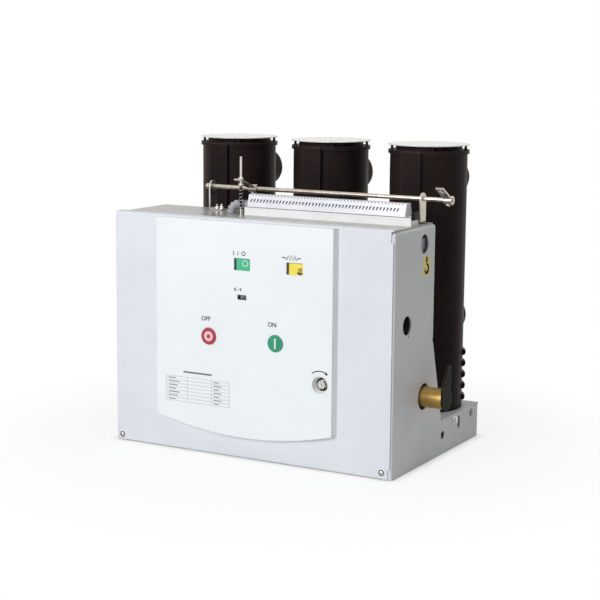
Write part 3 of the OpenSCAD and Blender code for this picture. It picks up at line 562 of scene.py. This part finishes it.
# %% Button marks
off_centre, on_centre = middle("off_button"), middle("on_button")
off_face_mark = seat((off_centre.x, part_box("off_button")[0].y / MM, off_centre.z), FRONT)
on_face_mark = seat((on_centre.x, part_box("on_button")[0].y / MM, on_centre.z), FRONT)
INLAY_LOW, INLAY_HIGH = -0.3, 0.25
off_bm = bmesh.new()
ring(off_bm, off_face_mark, 3.9, 9.3, INLAY_LOW, INLAY_HIGH)
piece("off_button_ring", off_bm, mark_pink, "off_button", edge=0.1)
on_bm = bmesh.new()
slab(on_bm, on_face_mark, oblong(-1.6, -9.5, 1.6, 9.5), INLAY_LOW, INLAY_HIGH)
piece("on_button_bar", on_bm, mark_white, "on_button", edge=0.1)

# %% [markdown]
# ## The shade in the charging funnel
# The charging shaft ends at the bottom of its funnel. A black ring there is painted shade at the funnel's
# bottom, drawn as a seal that the crank slides over.

# %% Charging funnel shade ring
FUNNEL_DEEP, SHADE_RING_INNER, SHADE_RING_OUTER, SHADE_RING_T = 9.8, 8.9, 11.7, 1.5
shade_ring_bm = bmesh.new()
funnel_end = seat((socket.x, FACE_Y + FUNNEL_DEEP, socket.z), FRONT)
ring(shade_ring_bm, funnel_end, SHADE_RING_INNER, SHADE_RING_OUTER, -SHADE_RING_T, 0)
piece("charging_funnel_shade_ring", shade_ring_bm, black_abs, edge=0.2)

# %% [markdown]
# ## Screws and bolts
# One hex bolt and one cross-recess screw serve in most places. The bolt is drawn from its thread size, as
# standard bolts are, and the screw from the radius of its head. A washer under each bolt keeps it off the
# paint. A dark cross in each screw head is painted shade in its cross recess, and a dark ring round each
# screw is painted shade in its countersink.

# %% Bolt and screw
def hex_bolt(bm, at, facing, size=6.0, spin=0.0):
    """Hex head with a chamfer on a plain washer."""
    place = seat(at, facing, spin)
    flat, tall, washer_r, washer_t, chamfer = 0.92 * size, 0.65 * size, 1.05 * size, 0.18 * size, 0.86
    turn(bm, place, [(0, 0), (washer_r, 0), (washer_r, washer_t), (0, washer_t)], 28)
    turn(bm, place, [(0, washer_t), (flat, washer_t), (flat, washer_t + chamfer * tall),
                     (chamfer * flat, washer_t + tall), (0, washer_t + tall)], 6)


def pan_screw(bm, at, facing, size=5.0):
    """Round screw head; size is its radius."""
    dome = [(0, 0), (1, 0), (0.98, 0.25), (0.8, 0.45), (0.45, 0.55), (0, 0.57)]
    turn(bm, seat(at, facing), [(r * size, h * size) for r, h in dome], 28)


def cross(bm, at, facing, size=5.0):
    """A dark cross that paints the shade in a screw's cross recess."""
    arm, wide, top = 0.55 * size, 0.13 * size, 0.6 * size
    place = seat(at, facing, radians(20))
    slab(bm, place, [(-arm, -wide), (-wide, -wide), (-wide, -arm), (wide, -arm), (wide, -wide), (arm, -wide),
                     (arm, wide), (wide, wide), (wide, arm), (-wide, arm), (-wide, wide), (-arm, wide)],
         0.4 * size, top)


SCREW_R, COUNTERSINK_R = 4.2, 5.4
screw_bm, screw_shade_bm = bmesh.new(), bmesh.new()
# Painted shade: a dark cross and a dark ring in each screw's head and countersink.
for x, z in ((-280, 11), (275, 12.6)):
    pan_screw(screw_bm, (x, COVER_Y, z), FRONT, SCREW_R)
    cross(screw_shade_bm, (x, COVER_Y, z), FRONT, SCREW_R)
    ring(screw_shade_bm, seat((x, COVER_Y, z), FRONT), 4.0, COUNTERSINK_R, 0, 0.6, 28)
piece("cover_screws", screw_bm, silver_zinc)
piece("cover_screw_painted_shade", screw_shade_bm, black_abs)

# %% [markdown]
# ## Hardware on the top plate
# The bracket feet are bolted down, thin clips hold the rod between the brackets and a knob ends it, and a
# clamp bolt pinches each lever on the rod. What sits on the rod rides on the interlock shaft.

# %% Bracket bolts, rod clips and clamp bolts
TOP_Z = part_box("top_plate")[1].z / MM
rod = middle("interlock_rod")
FOOT_T = 3
bolt_bm = bmesh.new()
for foot, step in (("interlock_bracket_left", 1), ("interlock_bracket_right", -1)):
    foot_x = middle(foot).x
    for x, y in ((0.5 * step, -4.5), (4.5 * step, 5)):
        at = (foot_x + x, rod.y + y, TOP_Z + FOOT_T)
        hex_bolt(bolt_bm, at, UP, 4.5, radians(12))
        turn(bolt_bm, seat(at), [(0, 0), (2.2, 0), (2.2, 7.5), (1.6, 8.2), (0, 8.2)], 16)
piece("bracket_bolts", bolt_bm, silver_zinc)
clip_bm = bmesh.new()
for x, low in ((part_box("interlock_bracket_left")[0].x / MM + FOOT_T, 0.4),
               (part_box("interlock_bracket_right")[1].x / MM - FOOT_T, -0.9)):
    ring(clip_bm, seat((x, rod.y, rod.z), RIGHT), 4.05, 6.2, low, low + 0.5)
turn(clip_bm, seat((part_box("interlock_rod")[0].x / MM, rod.y, rod.z), LEFT),
     [(0, -5), (4.6, -5), (5.2, -4), (5.2, -1), (4.2, 0.5), (0, 1)], 28)
piece("rod_clips", clip_bm, bright_zinc, "interlock_shaft", edge=0.15)
clamp_bm = bmesh.new()
for arm in ("interlock_lever", "interlock_paddle"):
    arm_x = middle(arm).x
    hex_bolt(clamp_bm, (arm_x, rod.y + 7.5, rod.z + 3), (0, 0.9, 0.4), 4.0)
    hex_bolt(clamp_bm, (arm_x, rod.y - 3, rod.z - 7.5), (0, -0.4, -0.9), 4.0)
piece("clamp_bolts", clamp_bm, bright_zinc, "interlock_shaft")

# %% [markdown]
# ## The return spring
# The solid of the spring is a coarse helix. The dressed one has its end turns closed flat, as springs are
# ground, and a round wire. A thin black tube on the rod darkens the rod between the turns.

# %% Wound spring
rod_low, rod_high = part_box("push_rod")
PUSH_X, PUSH_Y = (rod_low.x + rod_high.x) / 2 / MM, (rod_low.y + rod_high.y) / 2 / MM
spring_low, spring_high = (corner.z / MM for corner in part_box("push_rod_spring"))
TURNS, STEPS, WIRE, COIL_R = 10, 28, 0.6, 3.05
coil = []
for i in range(TURNS * STEPS + 1):
    a, wound = 2 * pi * i / STEPS, i / STEPS
    rise = min(max((wound - 0.8) / (TURNS - 1.6), 0), 1)
    height = spring_low + WIRE + (spring_high - spring_low - 2 * WIRE) * rise
    coil.append((PUSH_X + COIL_R * cos(a), PUSH_Y + COIL_R * sin(a), height))
spring_bm = bmesh.new()
wire(spring_bm, coil, [WIRE] * len(coil), 8)
spring = piece("push_rod_coil", spring_bm, spring_steel)
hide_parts("push_rod_spring")
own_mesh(spring)
black_tube_bm = bmesh.new()
ring(black_tube_bm, seat((PUSH_X, PUSH_Y, 0)), 2.27, 2.4, spring_low + 12, spring_high, 28)
piece("push_rod_black_tube", black_tube_bm, black_abs, "push_rod")

# %% [markdown]
# ## The terminal strip
# Under its clear cover the strip is a row of narrow terminals, 7 mm each, and what shows of them from the
# front is a row of slanted dark slots with a finer row above. They lie on the cover's front slope.

# %% Terminal slots and joint line
strip_low, strip_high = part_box("terminal_cover")
COVER_LOW_Z, COVER_TOP_Z = strip_low.z / MM, strip_high.z / MM
SLOPE_IN, TERMINAL_PITCH = 7.0, 6.85
slope = Vector((0, -(COVER_TOP_Z - COVER_LOW_Z), SLOPE_IN)).normalized()


def on_slope(x, share):
    """Place on the cover's front slope, at a share of its height."""
    height = COVER_LOW_Z + (COVER_TOP_Z - COVER_LOW_Z) * share
    return seat((x, strip_low.y / MM + SLOPE_IN * share, height), slope)


slot_bm, dot_bm = bmesh.new(), bmesh.new()
x = strip_low.x / MM + 7
while x < strip_high.x / MM - 6:
    if x < strip_high.x / MM - 14:
        slab(slot_bm, on_slope(x, 0.5), [(-2.2, -3.1), (-0.5, -3.1), (2.7, 3.1), (-0.6, 3.1)], -0.2, 0.15)
    slab(dot_bm, on_slope(x + 1.5, 0.93), oblong(-1.1, -0.9, 1.1, 0.9), -0.2, 0.15)
    x += TERMINAL_PITCH
piece("terminal_slots", slot_bm, slot_ink)
piece("terminal_dots", dot_bm, grey_ink)
base_low, base_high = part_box("terminal_base")
line_bm = bmesh.new()
slab(line_bm, seat((0, base_low.y / MM, COVER_LOW_Z - 0.6), FRONT),
     oblong(base_low.x / MM, -0.6, base_high.x / MM, 0.6), -0.3, 0.1)
piece("strip_joint_line", line_bm, seam_grey)
# Painted shade: the black plate on the strip's right end makes that end face dark.
end_bm = bmesh.new()
slab(end_bm, seat((base_high.x / MM, middle("terminal_base").y, middle("terminal_base").z), RIGHT),
     oblong(-14.5, -7.5, 14.5, 7.5), 0, 0.8)
piece("strip_end_plate", end_bm, black_abs, edge=0.3)

# %% [markdown]
# ## The wiring sleeve
# The wires leave the strip in a ribbed sleeve that bends down through the top plate. A tube whose radius
# rises and falls every few millimetres gives the ribs, on the same route as the solid.

# %% Ribbed sleeve
SLEEVE_Y, BEND, SLEEVE_R = middle("wiring_sleeve").y, 18, 8.5
sleeve_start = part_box("wiring_sleeve")[1].x / MM
bend_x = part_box("wiring_sleeve")[0].x / MM + BEND + SLEEVE_R
route = [(sleeve_start + (bend_x - sleeve_start) * k / 44, SLEEVE_Y, TOP_Z + BEND) for k in range(45)]
for k in range(1, 57):
    a = radians(90 + 90 * k / 56)
    route.append((bend_x + BEND * cos(a), SLEEVE_Y, TOP_Z + BEND * sin(a)))
sleeve_bm = bmesh.new()
ribs = [SLEEVE_R - 2.2 * (0.5 + 0.5 * cos(2 * pi * i / 12.5)) for i in range(len(route))]
wire(sleeve_bm, route, ribs, 24)
sleeve = piece("wiring_sleeve_ribbed", sleeve_bm, sleeve_pvc)
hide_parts("wiring_sleeve")

# %% [markdown]
# ## The side plates
# A yellow sticker with a hook marks each lifting hole, and a stiffening angle is welded behind it. The
# foot has a socket-head bolt beside its slot and a nut welded behind the rear fixing hole, and the corners
# between the folds are welded shut and ground round. The left side repeats the right one.

# %% Hook stickers, lugs, side bolts and corner welds
SIDE_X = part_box("right_side_plate")[1].x / MM
SHEET, BEND_R = 3.0, 5.0
top_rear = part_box("top_plate")[1].y / MM
bow = [radians(78 - 12 * k) for k in range(24)]
hook = [(0.5, 9), (0.5, 4)] + [(7.5 * cos(a), -5 + 7.5 * sin(a)) for a in bow]
pen = [3.8, 4.1] + [4.4 + 2.8 * sin(pi * k / 23) - 3.4 * (k / 23) ** 3 for k in range(24)]
STICKER_Y, STICKER_Z, EYE_RISE = -63, 366.5, 12
BOLT_AT, NUT_AT, LUG_Z, LUG_HALF = (79, 54.5), (160, 52), 380.5, 35.5
SIDE_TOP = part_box("right_side_plate")[1].z / MM
socket_head = [(0, 0), (6.8, 0), (6.8, 1.2), (5.4, 1.2), (5.4, 5), (4.8, 5.6), (2.8, 5.6), (2.8, 3), (0, 3)]
arcs = [radians(t) for t in range(-75, 90, 15)]
weld_ball = [(0, -BEND_R)] + [(BEND_R * cos(a), BEND_R * sin(a)) for a in arcs] + [(0, BEND_R)]
sticker_bm, hook_bm, side_bm, weld_bm, lug_bm, corner_bm = (bmesh.new() for k in range(6))
for way in (1, -1):
    facing = (way, 0, 0)
    at = way * SIDE_X
    on_sticker = seat((at, STICKER_Y, STICKER_Z), facing)
    slab(sticker_bm, on_sticker, oblong(-15, -17.5, 15, 17.5), 0, 0.2)
    stroke(hook_bm, on_sticker, hook, pen, 0, MARK)
    ring(hook_bm, seat((at, STICKER_Y, STICKER_Z + EYE_RISE), facing), 1.8, 5.0, 0, MARK, 24)
    turn(side_bm, seat((at, *BOLT_AT), facing), socket_head, 32)
    ring(weld_bm, seat((at - SHEET * way, *NUT_AT), facing), 5.9, 12.5, -6, -0.05, 24)
    slab(lug_bm, seat((at - 10 * way, -78.5, LUG_Z), facing), oblong(-24.5, -LUG_HALF, 24.5, LUG_HALF), 0, 3)
    slab(lug_bm, seat((at - 7 * way, -101.5, LUG_Z), facing), oblong(-1.5, -LUG_HALF, 1.5, LUG_HALF), 0, 3.9)
    for y in (COVER_Y + 7, top_rear):
        turn(corner_bm, seat((way * (SIDE_X - BEND_R), y, SIDE_TOP - BEND_R)), weld_ball, 24)
piece("hook_stickers", sticker_bm, yellow_flag)
piece("hook_marks", hook_bm, ink)
piece("side_bolts", side_bm, silver_zinc)
piece("weld_nuts", weld_bm, bright_zinc, edge=0.3)
piece("lifting_lugs", lug_bm, pocket_paint, edge=0.4)
piece("corner_welds", corner_bm, powder_coat)

# %% [markdown]
# ## The poles
# Each cap disc is held by four small screws over its posts. Only their rims stand out of the disc.

# %% Cap screws
CAP_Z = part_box("pole_cap_left")[1].z / MM
SCREW_CIRCLE, FIRST_SCREW = 70, 30
cap_bm = bmesh.new()
for pole in ("pole_cap_left", "pole_cap_middle", "pole_cap_right"):
    axis = middle(pole)
    for k in range(4):
        a = radians(FIRST_SCREW + 90 * k)
        at = (axis.x + SCREW_CIRCLE * cos(a), axis.y + SCREW_CIRCLE * sin(a), CAP_Z)
        turn(cap_bm, seat(at, UP, a), [(1.3, -0.2), (1.3, 0.25), (2.6, 0.25), (3.0, -0.4)], 28)
piece("cap_screws", cap_bm, bright_zinc)

# %% [markdown]
# ## The back
# The rear wall and the base rail are bolted to the side plates' flanges, and an earth stud stands on the
# rail. The photograph doesn't show this side, so it follows the usual practice for such a frame.

# %% Rear bolts and earth stud
REAR_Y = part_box("base_rear_rail")[1].y / MM
rear_bm = bmesh.new()
FLANGE_X, FLANGE_Y, EARTH_AT = 283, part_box("right_side_plate")[1].y / MM, (-230, REAR_Y, 34)
for x in (-FLANGE_X, FLANGE_X):
    for z in (18, 48):
        hex_bolt(rear_bm, (x, FLANGE_Y, z), BACK, 5.0)
hex_bolt(rear_bm, EARTH_AT, BACK, 10.0)
piece("rear_bolts", rear_bm, bright_zinc)

# %% [markdown]
# ## Floor and light
# The floor is pale. Near the breaker it takes the shadow, and further off it glows as white as the room, so
# that no horizon shows. Ambient occlusion keeps a thin dark line where the breaker stands on it.

# %% Floor
FLOOR_REACH, FLOOR_Z = 8, -0.0005
floor_mesh = bpy.data.meshes.new("studio_floor")
floor_corners = [(x, y, FLOOR_Z) for x, y in oblong(-FLOOR_REACH, -FLOOR_REACH, FLOOR_REACH, FLOOR_REACH)]
floor_mesh.from_pydata(floor_corners, [], [(0, 1, 2, 3)])
floor = bpy.data.objects.new("studio_floor", floor_mesh)
scene.collection.objects.link(floor)
paper = bpy.data.materials.new("studio_paper")
paper.use_nodes = True
tree = paper.node_tree
tree.nodes.clear()
rays = add(tree, "LightPath").outputs
seen = add(tree, "Math", {0: rays["Is Camera Ray"], 1: rays["Is Glossy Ray"]}, operation="MAXIMUM").outputs[0]
spot = add(tree, "TexCoord").outputs["Object"]
away = add(tree, "VectorMath", {0: spot}, operation="LENGTH").outputs["Value"]
fade = add(tree, "MapRange", {"Value": away, "From Min": 0.32, "From Max": 0.8, "To Min": 0.86,
                              "To Max": 1.0}, interpolation_type="SMOOTHSTEP").outputs[0]
open_air = add(tree, "AmbientOcclusion", {"Distance": 0.02}, samples=8).outputs["AO"]
share = add(tree, "Math", {0: seen, 1: fade}, operation="MULTIPLY").outputs[0]
share = add(tree, "Math", {0: share, 1: open_air}, operation="MULTIPLY").outputs[0]
matt = add(tree, "BsdfDiffuse", {"Color": linear("#f2f2f2")}).outputs[0]
glow = add(tree, "Emission", {"Color": linear("#ffffff"), "Strength": 1.0}).outputs[0]
both = add(tree, "MixShader", {0: share, 1: matt, 2: glow}).outputs[0]
add(tree, "OutputMaterial", {0: both})
floor_mesh.materials.append(paper)
print("floor:", paper.name)

# %% [markdown]
# ## Room and lamps
# The room is white where it is seen or mirrored, and dimmer as a light, so that the lamps shape the form.
# One large soft lamp stands in front, a weaker one above, and a small warm one behind on the right lights
# the folded rear edge of the side.

# %% Room and lamps
room = bpy.data.worlds.new("white_room")
room.use_nodes = True
tree = room.node_tree
tree.nodes.clear()
rays = add(tree, "LightPath").outputs
seen = add(tree, "Math", {0: rays["Is Camera Ray"], 1: rays["Is Glossy Ray"]}, operation="MAXIMUM").outputs[0]
seen = add(tree, "Math", {0: seen, 1: rays["Is Transmission Ray"]}, operation="MAXIMUM").outputs[0]
level = add(tree, "MapRange", {"Value": seen, "To Min": 0.16, "To Max": 1.0}).outputs[0]
tint = add(tree, "Mix", {0: seen, 6: linear("#f8fbf0"), 7: linear("#ffffff")}, data_type="RGBA").outputs[2]
sky = add(tree, "Background", {"Color": tint, "Strength": level}).outputs[0]
add(tree, "OutputWorld", {0: sky})
scene.world = room


def lamp(name, at, target, size, watts, tint):
    """A square soft lamp that looks at a point."""
    light = bpy.data.lights.new(name, "AREA")
    light.size = size
    light.energy = watts
    light.color = linear(tint)[:3]
    made = bpy.data.objects.new(name, light)
    scene.collection.objects.link(made)
    away = Vector(at) - Vector(target)
    made.matrix_world = Matrix.Translation(at) @ away.to_track_quat("Z", "Y").to_matrix().to_4x4()


lamp("front_softbox", (-0.5, -3.4, 1.5), (0, 0, 0.25), 1.8, 88, "#f9fbff")
lamp("top_softbox", (0.2, -0.3, 2.6), (0, 0, 0.3), 1.6, 18, "#ffffff")
lamp("right_back_fill", (1.9, 2.4, 1.3), (0.3, 0, 0.25), 1.2, 9, "#f8fbe6")
